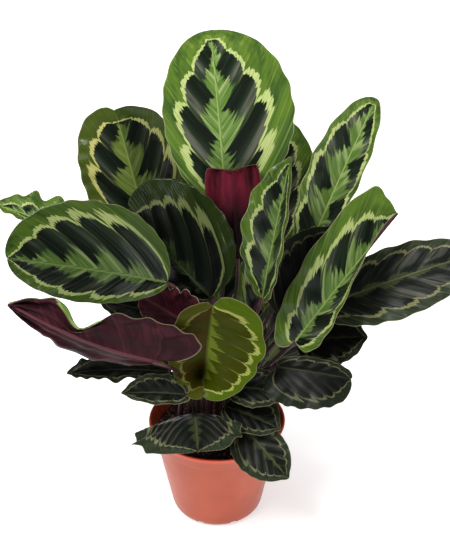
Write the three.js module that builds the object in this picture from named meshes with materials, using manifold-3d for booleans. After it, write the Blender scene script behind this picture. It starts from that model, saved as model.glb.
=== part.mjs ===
// A potted calathea: broad patterned leaves on slender stalks, standing in potting soil in a plastic
// nursery pot. Millimetres, +Z up. The origin is the middle of the pot's flat underside, and -Y is
// the front of the plant.
import * as THREE from 'three';
import { mergeVertices } from 'three/addons/utils/BufferGeometryUtils.js';
import Module from 'manifold-3d';

// ---- Driving dimensions -------------------------------------------------------------------------

const POT_HEIGHT = 130;
const POT_TOP_RADIUS = 85; // outside of the collar: a 17 cm pot
const POT_FOOT_RADIUS = 56;
const FOOT_ROUNDING = 12; // height of the curve between the wall and the underside
const FOOT_FLAT_RADIUS = 46; // the flat ring of the underside that the pot stands on
const FLOOR_RADIUS = 44; // the flat part of the floor inside
const COLLAR_HEIGHT = 20;
const COLLAR_TAPER = 6; // the collar is this much narrower at its lower edge than at the lip
const COLLAR_STEP = 2; // how far the collar's lower edge stands out from the wall
const COLLAR_LEDGE = 0.4; // the collar's underside slopes up this much outwards
const LIP_HEIGHT = 4; // the last stretch of the collar, which flares a little more
const LIP_FLARE = 1.2;
const LIP_ROUNDING = 1.4;
const WALL = 1.8;
const FLOOR = 2.5;
const DRAIN_COUNT = 8; // notches in the rounded edge of the foot
const DRAIN_WIDTH = 9;
const DRAIN_HEIGHT = 7;
const POT_SEGMENTS = 40;
const CURVE_STEPS = 3; // straight pieces in each curve of the pot's section

const SOIL_BELOW_LIP = 11;
const SOIL_CROWN = 1.2; // the middle, where the stalks stand, is this much higher
const SOIL_CROWN_RADIUS = 40;
const SOIL_SLOPE = 12; // the ring along the wall where the surface falls off
const SOIL_SLOPE_DROP = 2;
const SOIL_EDGE_DROP = 5;
const GAP = 0.3; // room between pieces that lie against each other
const SOIL_INSET = 0.1; // the soil keeps this much more room to the wall
const SOIL_FOOT_INSET = 0.6; // and this much more at the curve of the foot

const STALK_RADIUS = 2.2;
const STALK_SIDES = 6;
const STALK_STEPS = 9;
const STALK_DEPTH = 26; // how deep a stalk stands in its hole
const HOLE_CLEARANCE = 0.4;
const STALK_OVERLAP = 6; // how far the stalk's end reaches under the blade
const STALK_ROOM = 1.07; // the stalk lies this share of its radius under the blade, for its corners
const DROOP_ROOM = 0.9; // the share that it lies lower where a half of the blade hangs down

const BLADE_THICKNESS = 0.8;
const BLADE_END = 2.1; // half the blade's width where the stalk meets it
const TIP_END = 0.7;
const STEP_LENGTH = 11; // the blade's length between two rows of points
const FEWEST_ROWS = 9;
const MOST_ROWS = 17;
const ACROSS = [0, 0.42, 0.78, 1]; // where the points of a row lie, from midrib to margin
const LOBE_SCALE = 1.65; // makes a lobe reach as far as its stated length
const LOBE_EASE = 1.6; // how steeply a lobe grows from the midrib to the margin
const WAVE_SHIFT = 1.7; // the waves of the two halves are out of step by this angle
const FLAT_ARC = 1e-6; // stands for a half that isn't curled

// ---- Colours --------------------------------------------------------------------------------------

const finish = (color, roughness) => new THREE.MeshStandardMaterial({ color, roughness, metalness: 0 });
const terracotta = finish(0xcc5c3c, 0.45);
const pottingSoil = finish(0x2b1d17, 0.95);
const stalkRed = finish(0x4a1c26, 0.5);
const leafGreen = finish(0x4d7a30, 0.4);
const oldLeafGreen = finish(0x2c3d29, 0.45);
const youngLeafGreen = finish(0x7c9a1e, 0.4);

// ---- The leaves -----------------------------------------------------------------------------------
//
// foot: where the stalk leaves the soil. base, tip: the two ends of the midrib. face: the way the
// blade's upper side looks. width: the left and right half, seen from the upper side with the tip up.
// bow: how far the midrib arches towards the face, as a share of its length. cup: the arc in radians
// through which each half curls towards the face. fold: the angle in radians that each half is lifted
// at the midrib. wave: height, number and start of the waves along the margin. lobe: how far each half
// reaches back past the base. shoulder: the same, forwards past the tip. widest: over 1 puts the
// widest place nearer the tip. blunt: smaller is blunter. notch: the half it is in, its place, depth
// and breadth. lean, arrive: the shares of the stalk's way over which it rises straight up out of the
// soil and lines up with the midrib.

const leafDefaults = {
  bow: 0.05, cup: [0.2, 0.2], fold: [0.08, 0.08], wave: [2.5, 3, 0], lobe: [4, 4],
  shoulder: [0, 0], widest: 1, blunt: 0.52, notch: [0, 0, 0, 1], lean: 0.5, arrive: 0.22,
  green: leafGreen,
};

const leaves = {
  top: {
    foot: [0, 12], base: [11, 22, 417], tip: [-6, 75, 600], face: [0.05, -0.9, 0.4],
    width: [58, 82], bow: 0.04, cup: [0.2, 0.3], fold: [0, 0.05], wave: [2, 2, 0.4], blunt: 0.42,
  },
  upper_left: {
    foot: [-16, 22], base: [-76, 40, 350], tip: [-116, 86, 500], face: [0.1, -0.92, 0.35],
    width: [61, 62], cup: [0.1, 0.7], fold: [0, 0.15], wave: [3, 3, 1.2], blunt: 0.33,
  },
  far_left: {
    foot: [-26, 12], base: [-136, 66, 336], tip: [-257, 55, 398], face: [-0.3, -0.25, 0.95],
    width: [32, 32], bow: 0.02, cup: [0.1, 0.1], fold: [0.3, 0.3], wave: [4, 4, 0],
  },
  left: {
    foot: [-24, -6], base: [-55, -45, 350], tip: [-221, -82, 400], face: [-0.1, -0.8, 0.6],
    width: [40, 72], bow: 0.06, cup: [0.2, 0.3], fold: [0, 0.05], wave: [2, 3, 0], blunt: 0.48,
  },
  centre: {
    foot: [-8, -6], base: [-7, -38, 326], tip: [-95, 12, 405], face: [0, -0.9, 0.4],
    width: [48, 78], cup: [-0.3, 0.12], fold: [-0.6, 0.05], wave: [2, 3, 0], blunt: 0.42,
    shoulder: [0, 24],
  },
  crimson: {
    foot: [6, 0], base: [25, 0, 352], tip: [18, 7, 462], face: [0, 0.97, -0.2],
    width: [38, 38], bow: -0.05, cup: [0.5, 0.5], wave: [3, 2, 0], blunt: 0.25, widest: 2,
    shoulder: [5, 5],
  },
  narrow: {
    foot: [14, -12], base: [52, -45, 331], tip: [80, -20, 487], face: [-0.2, -0.9, 0.3],
    width: [37, 42], bow: 0.04, cup: [0.1, 0.3], fold: [0, 1], wave: [3.5, 5, 0], blunt: 0.6,
    widest: 0.78,
  },
  behind_top: {
    foot: [12, 24], base: [79, 50, 354], tip: [75, 85, 494], face: [0.2, -0.9, 0.3],
    width: [38, 40], bow: 0.04, fold: [0.1, 0.1],
  },
  upper_right: {
    foot: [24, 14], base: [101, 30, 331], tip: [182, 80, 520], face: [-0.3, -0.9, 0.3],
    width: [38, 32], bow: 0.03, fold: [0.4, 0.35], wave: [3, 5, 0], blunt: 0.6, widest: 1.25,
  },
  right: {
    foot: [27, -14], base: [91, -40, 268], tip: [196, -15, 413], face: [-0.3, -0.85, 0.4],
    width: [46, 36], bow: 0.04, cup: [0.1, 0.3], fold: [0.1, 1], wave: [3.5, 5, 0], blunt: 0.38,
    widest: 1.4, lobe: [10, 10], shoulder: [14, 0],
  },
  far_right: {
    foot: [32, 4], base: [122, 9, 284], tip: [300, -10, 370], face: [0, -0.7, 0.7],
    width: [42, 42], cup: [-0.2, 0.1], fold: [0, 0.1], wave: [3, 5, 0], green: oldLeafGreen,
  },
  low_right: {
    foot: [36, -12], base: [98, 0, 243], tip: [175, -14, 258], face: [0, -0.6, 0.8],
    width: [34, 40], cup: [0.1, 0.1], wave: [3, 4, 0], green: oldLeafGreen,
  },
  lowest_right: {
    foot: [24, -26], base: [72, -45, 236], tip: [155, -60, 230], face: [0, -0.75, 0.65],
    width: [10, 48], bow: 0.08, cup: [0.1, 0.1], wave: [2, 3, 0], green: oldLeafGreen, lean: 0.75,
  },
  young: {
    foot: [-14, -30], base: [-15, -68, 210], tip: [-5, -52, 320], face: [0.1, -0.8, 0.6],
    width: [38, 76], bow: -0.12, cup: [0.9, 0.9], fold: [0.1, 0.1], wave: [4, 4, 0], lobe: [6, 6],
    green: youngLeafGreen, blunt: 0.38, shoulder: [12, 22],
  },
  turned: {
    foot: [-47, -16], base: [-66, -95, 277], tip: [-216, -110, 358], face: [0.1, 0.85, -0.2],
    width: [46, 40], bow: -0.1, cup: [0.1, 0.1], fold: [0.1, 0.9], wave: [3, 4, 0], lobe: [38, 4],
    widest: 0.62, notch: [0, 0.55, 0.8, 0.1], lean: 0.4, arrive: 0.34,
  },
  under_turned: {
    foot: [-44, -12], base: [-57, -46, 231], tip: [-169, -60, 238], face: [0, -0.4, 0.95],
    width: [26, 22], cup: [0.1, 0.1], fold: [0.3, 0.3], wave: [3, 3, 0], green: oldLeafGreen,
  },
  wavy: {
    foot: [-14, -16], base: [-12, -38, 272], tip: [-83, -50, 336], face: [0.1, 0.95, -0.05],
    width: [32, 32], bow: 0.03, wave: [4, 4, 0],
  },
  small_left: {
    foot: [-34, 0], base: [-61, -8, 283], tip: [-134, -18, 311], face: [0, -0.6, 0.8],
    width: [22, 22], wave: [2, 3, 0], green: oldLeafGreen,
  },
  low_left: {
    foot: [-26, -40], base: [-36, -76, 219], tip: [-103, -98, 237], face: [0, -0.6, 0.8],
    width: [36, 18], bow: 0.06, cup: [0.1, 0.1], wave: [3, 3, 0], green: oldLeafGreen,
  },
  front: {
    foot: [-8, -46], base: [-26, -55, 177], tip: [-20, -140, 188], face: [0, -0.2, 1],
    width: [54, 76], bow: 0.1, cup: [-0.4, -0.5], fold: [0, 0], wave: [4, 3, 0],
    green: oldLeafGreen,
  },
  over_rim: {
    foot: [14, -44], base: [28, -58, 163], tip: [82, -105, 123], face: [0.1, -0.7, 0.6],
    width: [34, 36], bow: 0.08, cup: [0.1, 0.1], wave: [2, 3, 0], green: oldLeafGreen,
  },
  rim_right: {
    foot: [4, -34], base: [10, -46, 181], tip: [72, -76, 171], face: [0.1, -0.6, 0.8],
    width: [34, 24], bow: 0.06, cup: [0.1, 0.1], wave: [2, 3, 0], green: oldLeafGreen,
  },
  tucked: {
    foot: [12, -26], base: [14, -54, 215], tip: [77, -64, 213], face: [0, -0.5, 0.85],
    width: [26, 26], cup: [0.1, 0.1], wave: [2, 3, 0], green: oldLeafGreen,
  },
  inner: {
    foot: [22, 2], base: [77, -5, 283], tip: [132, 10, 388], face: [-0.3, -0.85, 0.4],
    width: [42, 42], wave: [2, 3, 0], green: oldLeafGreen,
  },
  back_left: {
    foot: [-10, 34], base: [-36, 48, 222], tip: [-92, 118, 320], face: [-0.1, -0.7, 0.7],
    width: [50, 50], bow: 0.08, wave: [3, 3, 0.6],
  },
  back: {
    foot: [4, 40], base: [2, 98, 229], tip: [0, 190, 340], face: [0, -0.2, 0.95],
    width: [48, 48], bow: 0.05, wave: [3, 3, 1.4], arrive: 0.34, lean: 0.35,
  },
  back_right: {
    foot: [20, 38], base: [56, 62, 208], tip: [88, 135, 318], face: [0.1, -0.7, 0.7],
    width: [50, 48], bow: 0.08, wave: [3, 3, 2.2],
  },
  low_back_left: {
    foot: [-28, 32], base: [-60, 80, 206], tip: [-122, 150, 240], face: [-0.2, 0.3, 0.9],
    width: [40, 40], bow: 0.1, wave: [3, 3, 0.3], green: oldLeafGreen,
  },
  low_back_right: {
    foot: [34, 26], base: [56, 24, 190], tip: [122, 76, 266], face: [0.2, -0.6, 0.7],
    width: [40, 46], bow: 0.1, wave: [3, 3, 1.1], green: oldLeafGreen,
  },
};

// ---- Blades ---------------------------------------------------------------------------------------

// The place and the directions of the midrib at v, from 0 at the base to 1 at the tip.
function midrib(leaf, v) {
  const base = new THREE.Vector3(...leaf.base);
  const along = new THREE.Vector3(...leaf.tip).sub(base);
  const length = along.length();
  along.normalize();
  const up = new THREE.Vector3(...leaf.face);
  up.addScaledVector(along, -up.dot(along)).normalize();
  const arch = Math.sin(Math.PI * v);
  const slope = Math.PI * Math.cos(Math.PI * v);
  const point = base.clone()
    .addScaledVector(along, length * v)
    .addScaledVector(up, length * leaf.bow * arch);
  const tangent = along.clone().addScaledVector(up, leaf.bow * slope).normalize();
  const normal = up.clone().addScaledVector(tangent, -up.dot(tangent)).normalize();
  const side = new THREE.Vector3().crossVectors(tangent, normal);
  return { point, tangent, normal, side };
}

// Half of the blade's width at v, as a share of its widest.
function outline(leaf, v) {
  return Math.pow(Math.max(Math.sin(Math.PI * Math.pow(v, leaf.widest)), 0), leaf.blunt);
}

// What a notch leaves of that half's width.
function notched(leaf, half, v) {
  const [side, place, depth, breadth] = leaf.notch;
  return side === half ? 1 - depth * Math.exp(-(((v - place) / breadth) ** 2)) : 1;
}

// A point of the blade's upper side: v runs along it, u from -1 at the left margin to 1 at the right.
function bladePoint(leaf, u, v) {
  const { point, tangent, normal, side } = midrib(leaf, v);
  const half = u < 0 ? 0 : 1;
  const reach = Math.abs(u);
  const ends = THREE.MathUtils.lerp(BLADE_END, TIP_END, v);
  const width = Math.max(leaf.width[half] * outline(leaf, v) * notched(leaf, half, v), ends);
  const arc = leaf.cup[half] || FLAT_ARC;
  const out = width * Math.sin(arc * reach) / arc;
  const lift = width * (1 - Math.cos(arc * reach)) / arc;
  const [height, count, start] = leaf.wave;
  const swell = Math.sin(Math.PI * v) * reach * reach;
  const wave = height * swell * Math.sin(2 * Math.PI * count * v + start + half * WAVE_SHIFT);
  const fold = leaf.fold[half];
  const across = out * Math.cos(fold) - lift * Math.sin(fold);
  const above = out * Math.sin(fold) + lift * Math.cos(fold) + wave;
  const rounding = Math.pow(reach, LOBE_EASE) * Math.sqrt(outline(leaf, v));
  const back = rounding * LOBE_SCALE * leaf.lobe[half] * (1 - v) * (1 - v);
  const forward = rounding * LOBE_SCALE * leaf.shoulder[half] * v * v;
  return point
    .addScaledVector(side, Math.sign(u) * across)
    .addScaledVector(normal, above)
    .addScaledVector(tangent, forward - back);
}

// The point under it on the lower side, one thickness down the surface's own normal.
function underPoint(leaf, u, v) {
  const step = 0.01;
  const u0 = Math.max(u - step, -1);
  const u1 = Math.min(u + step, 1);
  const v0 = Math.max(v - step, 0);
  const v1 = Math.min(v + step, 1);
  const acrossWay = bladePoint(leaf, u1, v).sub(bladePoint(leaf, u0, v));
  const alongWay = bladePoint(leaf, u, v1).sub(bladePoint(leaf, u, v0));
  const normal = new THREE.Vector3().crossVectors(acrossWay, alongWay).normalize();
  return bladePoint(leaf, u, v).addScaledVector(normal, -BLADE_THICKNESS);
}

// The blade as one closed solid: rows of points on both sides, split into triangles alike.
function bladeGeometry(leaf) {
  const length = new THREE.Vector3(...leaf.base).distanceTo(new THREE.Vector3(...leaf.tip));
  const rows = THREE.MathUtils.clamp(Math.round(length / STEP_LENGTH), FEWEST_ROWS, MOST_ROWS);
  const us = [...ACROSS.slice(1).reverse().map((u) => -u), ...ACROSS];
  const columns = us.length;
  const upper = [];
  const lower = [];
  for (let row = 0; row <= rows; row += 1) {
    const v = 0.5 - 0.5 * Math.cos(Math.PI * row / rows);
    for (const u of us) {
      upper.push(bladePoint(leaf, u, v));
      lower.push(underPoint(leaf, u, v));
    }
  }
  const points = [...upper, ...lower];
  const under = upper.length;
  const faces = [];
  const at = (row, column) => row * columns + column;
  for (let row = 0; row < rows; row += 1) {
    for (let column = 0; column < columns - 1; column += 1) {
      const [a, b] = [at(row, column), at(row, column + 1)];
      const [c, d] = [at(row + 1, column), at(row + 1, column + 1)];
      const rising = column < (columns - 1) / 2;
      const split = rising ? [a, b, c, b, d, c] : [a, b, d, a, d, c];
      faces.push(...split);
      faces.push(...split.map((corner) => corner + under).reverse());
    }
    for (const column of [0, columns - 1]) {
      const [a, c] = [at(row, column), at(row + 1, column)];
      const wall = [a, c, a + under, c, c + under, a + under];
      faces.push(...(column === 0 ? wall : wall.reverse()));
    }
  }
  for (let column = 0; column < columns - 1; column += 1) {
    for (const row of [0, rows]) {
      const [a, b] = [at(row, column), at(row, column + 1)];
      const wall = [a, a + under, b, b, a + under, b + under];
      faces.push(...(row === 0 ? wall : wall.reverse()));
    }
  }
  return closedGeometry(points, faces);
}

function closedGeometry(points, faces) {
  const geometry = new THREE.BufferGeometry();
  const numbers = points.flatMap((point) => point.toArray());
  geometry.setAttribute('position', new THREE.Float32BufferAttribute(numbers, 3));
  geometry.setIndex(faces);
  return geometry;
}

// ---- Stalks ---------------------------------------------------------------------------------------

const soilTop = POT_HEIGHT - SOIL_BELOW_LIP;

// A stalk rises straight out of the soil, leans outwards and ends close under the blade's base, in
// line with the midrib.
function stalkPath(leaf, depth) {
  const { point, tangent, normal } = midrib(leaf, 0);
  const droop = Math.sin(Math.max(0, -Math.min(...leaf.fold))) * DROOP_ROOM;
  const end = point.clone()
    .addScaledVector(tangent, STALK_OVERLAP)
    .addScaledVector(normal, -BLADE_THICKNESS - GAP - STALK_RADIUS * (STALK_ROOM + droop));
  const foot = new THREE.Vector3(leaf.foot[0], leaf.foot[1], soilTop);
  const reach = end.distanceTo(foot);
  const root = foot.clone().setZ(soilTop - depth);
  const rise = foot.clone().setZ(soilTop + reach * leaf.lean);
  const arrive = end.clone().addScaledVector(tangent, -reach * leaf.arrive);
  const curve = new THREE.CurvePath();
  curve.add(new THREE.LineCurve3(root, foot));
  curve.add(new THREE.CubicBezierCurve3(foot, rise, arrive, end));
  return curve;
}

function tube(path, radius, steps) {
  const section = new THREE.Shape();
  for (let side = 0; side < STALK_SIDES; side += 1) {
    const angle = 2 * Math.PI * side / STALK_SIDES;
    const corner = [radius * Math.cos(angle), radius * Math.sin(angle)];
    if (side === 0) section.moveTo(...corner);
    else section.lineTo(...corner);
  }
  return new THREE.ExtrudeGeometry(section, { extrudePath: path, steps, bevelEnabled: false });
}

// ---- Pot ------------------------------------------------------------------------------------------

// The outside radius of the pot's wall at a height under the collar.
function wallRadius(height) {
  const top = POT_TOP_RADIUS - COLLAR_TAPER - COLLAR_STEP;
  return POT_FOOT_RADIUS + (top - POT_FOOT_RADIUS) * height / (POT_HEIGHT - COLLAR_HEIGHT);
}

const collarFoot = POT_HEIGHT - COLLAR_HEIGHT;

function potProfile() {
  const profile = new THREE.Path();
  profile.moveTo(0, 0);
  profile.lineTo(FOOT_FLAT_RADIUS, 0);
  profile.quadraticCurveTo(POT_FOOT_RADIUS, 0, wallRadius(FOOT_ROUNDING), FOOT_ROUNDING);
  profile.lineTo(wallRadius(collarFoot), collarFoot);
  profile.lineTo(POT_TOP_RADIUS - COLLAR_TAPER, collarFoot + COLLAR_LEDGE);
  profile.lineTo(POT_TOP_RADIUS - LIP_FLARE, POT_HEIGHT - LIP_HEIGHT);
  profile.lineTo(POT_TOP_RADIUS, POT_HEIGHT - LIP_ROUNDING);
  profile.lineTo(POT_TOP_RADIUS - LIP_ROUNDING, POT_HEIGHT);
  profile.lineTo(POT_TOP_RADIUS - 2 * LIP_ROUNDING, POT_HEIGHT - LIP_ROUNDING);
  profile.lineTo(wallRadius(collarFoot) - WALL, collarFoot);
  profile.lineTo(wallRadius(FOOT_ROUNDING) - WALL, FOOT_ROUNDING);
  profile.quadraticCurveTo(POT_FOOT_RADIUS - WALL, FLOOR, FLOOR_RADIUS, FLOOR);
  profile.lineTo(0, FLOOR);
  return profile;
}

function turned(profile) {
  const geometry = new THREE.LatheGeometry(profile.getPoints(CURVE_STEPS), POT_SEGMENTS);
  return geometry.rotateX(Math.PI / 2);
}

// ---- Soil -----------------------------------------------------------------------------------------

// The soil fills the pot, GAP inside its wall.
function soilProfile() {
  const inset = WALL + GAP + SOIL_INSET;
  const bottom = FLOOR + GAP;
  const lipSide = wallRadius(collarFoot) - inset;
  const profile = new THREE.Path();
  profile.moveTo(0, bottom);
  profile.lineTo(FLOOR_RADIUS - 1, bottom);
  profile.quadraticCurveTo(
    POT_FOOT_RADIUS - inset - SOIL_FOOT_INSET, bottom,
    wallRadius(FOOT_ROUNDING) - inset, FOOT_ROUNDING + GAP);
  profile.lineTo(lipSide, collarFoot);
  profile.lineTo(lipSide, soilTop - SOIL_EDGE_DROP);
  profile.lineTo(lipSide - SOIL_SLOPE, soilTop - SOIL_SLOPE_DROP);
  profile.lineTo(SOIL_CROWN_RADIUS, soilTop + SOIL_CROWN);
  profile.lineTo(0, soilTop + SOIL_CROWN);
  return profile;
}

// ---- Cutting --------------------------------------------------------------------------------------

const wasm = await Module();
wasm.setup();

function solidOf(geometry) {
  const bare = geometry.clone();
  bare.deleteAttribute('normal');
  bare.deleteAttribute('uv');
  const merged = mergeVertices(bare, 1e-4);
  const vertProperties = new Float32Array(merged.attributes.position.array);
  const triVerts = new Uint32Array(merged.index.array);
  return new wasm.Manifold(new wasm.Mesh({ numProp: 3, vertProperties, triVerts }));
}

function geometryOf(solid) {
  const { vertProperties, triVerts } = solid.getMesh();
  const geometry = new THREE.BufferGeometry();
  geometry.setAttribute('position', new THREE.BufferAttribute(new Float32Array(vertProperties), 3));
  geometry.setIndex(new THREE.BufferAttribute(new Uint32Array(triVerts), 1));
  return geometry;
}

// ---- Assembly -------------------------------------------------------------------------------------

const plant = new THREE.Group();

function add(name, geometry, material) {
  const mesh = new THREE.Mesh(geometry, material);
  mesh.name = name;
  plant.add(mesh);
}

function drainNotch(index) {
  const notch = new THREE.BoxGeometry(FOOT_ROUNDING * 2, DRAIN_WIDTH, DRAIN_HEIGHT * 2);
  notch.translate(POT_FOOT_RADIUS, 0, 0);
  return notch.rotateZ(2 * Math.PI * (index + 0.5) / DRAIN_COUNT);
}

let pot = solidOf(turned(potProfile()));
let soil = solidOf(turned(soilProfile()));

for (const [name, shape] of Object.entries(leaves)) {
  const leaf = { ...leafDefaults, ...shape };
  add(`leaf_${name}`, bladeGeometry(leaf), leaf.green);
  add(`stalk_${name}`, tube(stalkPath(leaf, STALK_DEPTH), STALK_RADIUS, STALK_STEPS), stalkRed);
  const hole = tube(stalkPath(leaf, STALK_DEPTH + GAP), STALK_RADIUS + HOLE_CLEARANCE, STALK_STEPS);
  soil = soil.subtract(solidOf(hole));
}
for (let index = 0; index < DRAIN_COUNT; index += 1) {
  pot = pot.subtract(solidOf(drainNotch(index)));
}

add('pot', geometryOf(pot), terracotta);
add('soil', geometryOf(soil), pottingSoil);

export default plant;
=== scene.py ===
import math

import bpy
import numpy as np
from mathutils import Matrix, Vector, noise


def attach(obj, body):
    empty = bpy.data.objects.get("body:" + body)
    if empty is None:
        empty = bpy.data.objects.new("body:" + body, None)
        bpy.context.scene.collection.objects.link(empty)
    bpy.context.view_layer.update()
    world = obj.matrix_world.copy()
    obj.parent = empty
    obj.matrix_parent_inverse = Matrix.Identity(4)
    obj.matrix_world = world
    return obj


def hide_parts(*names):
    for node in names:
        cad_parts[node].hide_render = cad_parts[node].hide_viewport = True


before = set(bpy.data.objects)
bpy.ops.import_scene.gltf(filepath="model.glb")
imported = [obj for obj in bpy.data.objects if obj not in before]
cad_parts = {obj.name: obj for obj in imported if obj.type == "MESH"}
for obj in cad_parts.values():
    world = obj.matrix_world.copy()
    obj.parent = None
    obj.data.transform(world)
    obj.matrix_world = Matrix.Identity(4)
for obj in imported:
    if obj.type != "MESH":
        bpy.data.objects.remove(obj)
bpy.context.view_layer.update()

# %% [markdown]
# # Dressing a potted calathea
# The lines above bring in the plant's frame: plain solids for the pot, the soil, every blade and every
# stalk, in metres, with the origin under the pot and the front of the plant towards -Y. This lesson
# puts a finer piece in the place of each of them. The blades' shapes follow a rule, so most of the work
# is writing that rule down once and giving it a few numbers for each leaf.

MM = 0.001

# %% [markdown]
# ## Camera, floor and light
# The plant was seen from the front, from about a metre and a half away, with the camera tilted 29
# degrees downwards. A 72 mm lens on a 36 mm sensor gives the same narrow view. The floor is a plain
# pale sheet, and three large soft lamps act like the boxes of a product studio: a strong one at the
# upper left front, a weak one at the right, and one overhead. Large lamps give the long soft gloss
# that a waxy leaf shows. A lamp's size is its softness, so each is wider than the plant is high.

# %% Camera, floor and lamps
scene = bpy.context.scene
scene.view_settings.view_transform = "Standard"

CAMERA_PLACE = (0.010, -1.113, 0.956)
CAMERA_TILT = math.radians(60.8)
camera_data = bpy.data.cameras.new("camera")
camera_data.lens = 72
camera_data.sensor_width = 36
camera = bpy.data.objects.new("camera", camera_data)
camera.location = CAMERA_PLACE
camera.rotation_euler = (CAMERA_TILT, 0, 0)
scene.collection.objects.link(camera)
scene.camera = camera


def add_lamp(name, place, aim, size, watts):
    """A square soft box that shines from place towards aim."""
    lamp = bpy.data.lights.new(name, "AREA")
    lamp.size = size
    lamp.energy = watts
    box = bpy.data.objects.new(name, lamp)
    box.location = place
    box.rotation_euler = (Vector(aim) - Vector(place)).to_track_quat("-Z", "Y").to_euler()
    scene.collection.objects.link(box)


MIDDLE = (0, 0, 0.3)
add_lamp("key", (-0.8, -1.05, 2.1), MIDDLE, 0.7, 46)
add_lamp("fill", (1.5, -1.0, 1.0), MIDDLE, 0.9, 9)
add_lamp("top", (0.3, -0.2, 2.0), MIDDLE, 1.0, 12)

world = bpy.data.worlds.new("studio")
world.use_nodes = True
world.node_tree.nodes["Background"].inputs["Color"].default_value = (1, 1, 1, 1)
world.node_tree.nodes["Background"].inputs["Strength"].default_value = 0.16
scene.world = world
print("camera and", len(bpy.data.lights), "lamps are in place")

# %% [markdown]
# ## Writing formulas as nodes
# Shader nodes and Geometry Nodes both do arithmetic with Math nodes. Linking them by hand hides the
# formula, so this small class lets Python's own operators add the nodes: a + b makes an Add node and
# links it. The same class serves the colours of the blades and the shape of their ribs. The helpers
# after it make any other node in one line, with its inputs set or linked by their names.

# %% Fields: numbers that live in a node tree


class Field:
    """A number that varies over a surface: one output socket of a node tree."""

    def __init__(self, tree, socket):
        self.tree = tree
        self.socket = socket

    def math(self, operation, *others):
        """A Math node on this field and up to two more fields or numbers."""
        node = add_node(self.tree, "ShaderNodeMath", {"operation": operation})
        for item, slot in zip((self, *others), node.inputs):
            plug(self.tree, item, slot)
        return Field(self.tree, node.outputs[0])

    def __rsub__(self, other):
        return (self * -1) + other

    def step(self, low, high):
        """0 where the field is under low, 1 where it is over high, and smooth in between."""
        return field_of(self.tree, "ShaderNodeMapRange", {"interpolation_type": "SMOOTHSTEP"},
                        Value=self, From_Min=low, From_Max=high)


OPERATORS = {"add": "ADD", "sub": "SUBTRACT", "mul": "MULTIPLY", "truediv": "DIVIDE", "pow": "POWER"}
for word, operation in OPERATORS.items():
    join = lambda self, other, operation=operation: self.math(operation, other)
    setattr(Field, f"__{word}__", join)
    if word in ("add", "mul"):
        setattr(Field, f"__r{word}__", join)


def plug(tree, item, slot):
    """Links a field or a node's first output to a socket, or sets the socket to a plain value."""
    if isinstance(item, bpy.types.Node):
        item = Field(tree, item.outputs[0])
    if isinstance(item, Field):
        tree.links.new(item.socket, slot)
    else:
        slot.default_value = item


def fill(tree, node, **inputs):
    """Sets or links a node's inputs by their names, written with _ for a space."""
    for label, item in inputs.items():
        plug(tree, item, node.inputs[label.replace("_", " ")])
    return node


def add_node(tree, kind, settings=None, **inputs):
    """A new node with its settings made and its inputs set or linked."""
    node = tree.nodes.new(kind)
    for key, value in (settings or {}).items():
        setattr(node, key, value)
    return fill(tree, node, **inputs)


def field_of(tree, kind, settings=None, **inputs):
    """The first output of a new node, as a field."""
    return Field(tree, add_node(tree, kind, settings, **inputs).outputs[0])


def vector(tree, x, y, z):
    """A vector from three fields or numbers."""
    return field_of(tree, "ShaderNodeCombineXYZ", X=x, Y=y, Z=z)


def axes(tree, place):
    """The three parts of a vector."""
    node = add_node(tree, "ShaderNodeSeparateXYZ", Vector=place)
    return [Field(tree, socket) for socket in node.outputs]


def grain(tree, place, scale=1.0, detail=2.0, roughness=0.5):
    """Smooth random values around a half, read at place."""
    return field_of(tree, "ShaderNodeTexNoise", Vector=place, Scale=scale, Detail=detail,
                    Roughness=roughness)


def tint(tree, color, *coats):
    """A colour under coats of paint: pairs of a colour and how much of it covers what is below."""
    for over, amount in zip(coats[::2], coats[1::2]):
        node = add_node(tree, "ShaderNodeMix", {"data_type": "RGBA"})
        for item, slot in ((amount, 0), (color, 6), (over, 7)):
            plug(tree, item, node.inputs[slot])
        color = Field(tree, node.outputs[2])
    return color


print("fields can be joined with", ", ".join(OPERATORS))

# %% [markdown]
# ## Colours as the eye names them
# Colours are easiest to judge as the red, green and blue of a screen, from 0 to 255. A shader wants
# them as amounts of light, so each one passes through the screen's curve once, here.

# %% Colours and new materials


def rgb(red, green, blue):
    """A screen colour as the linear colour that a shader wants."""
    linear = []
    for level in (red, green, blue):
        share = level / 255
        linear.append(share / 12.92 if share <= 0.04045 else ((share + 0.055) / 1.055) ** 2.4)
    return (*linear, 1.0)


def new_material(name, color):
    """A material with its node tree and its shader. The flat colour is for plain viewports."""
    material = bpy.data.materials.new(name)
    material.use_nodes = True
    material.diffuse_color = color
    return material, material.node_tree, material.node_tree.nodes["Principled BSDF"]


def read(tree, *names):
    """The values of some of the mesh's own attributes."""
    nodes = [add_node(tree, "ShaderNodeAttribute", {"attribute_name": name}) for name in names]
    return [Field(tree, node.outputs["Fac"]) for node in nodes]


def object_place(tree):
    """The place on the object, in metres."""
    return Field(tree, tree.nodes.new("ShaderNodeTexCoord").outputs["Object"])


def brighten(tree, color, amount):
    """A colour made brighter or darker."""
    return field_of(tree, "ShaderNodeHueSaturation", Value=amount, Color=color)


def bump(tree, height, distance, strength):
    """Relief that is too fine for the mesh, for a shader's Normal."""
    return field_of(tree, "ShaderNodeBump", Strength=strength, Distance=distance, Height=height)


print("screen grey 128 is", round(rgb(128, 128, 128)[0], 3), "of full light")

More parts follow.
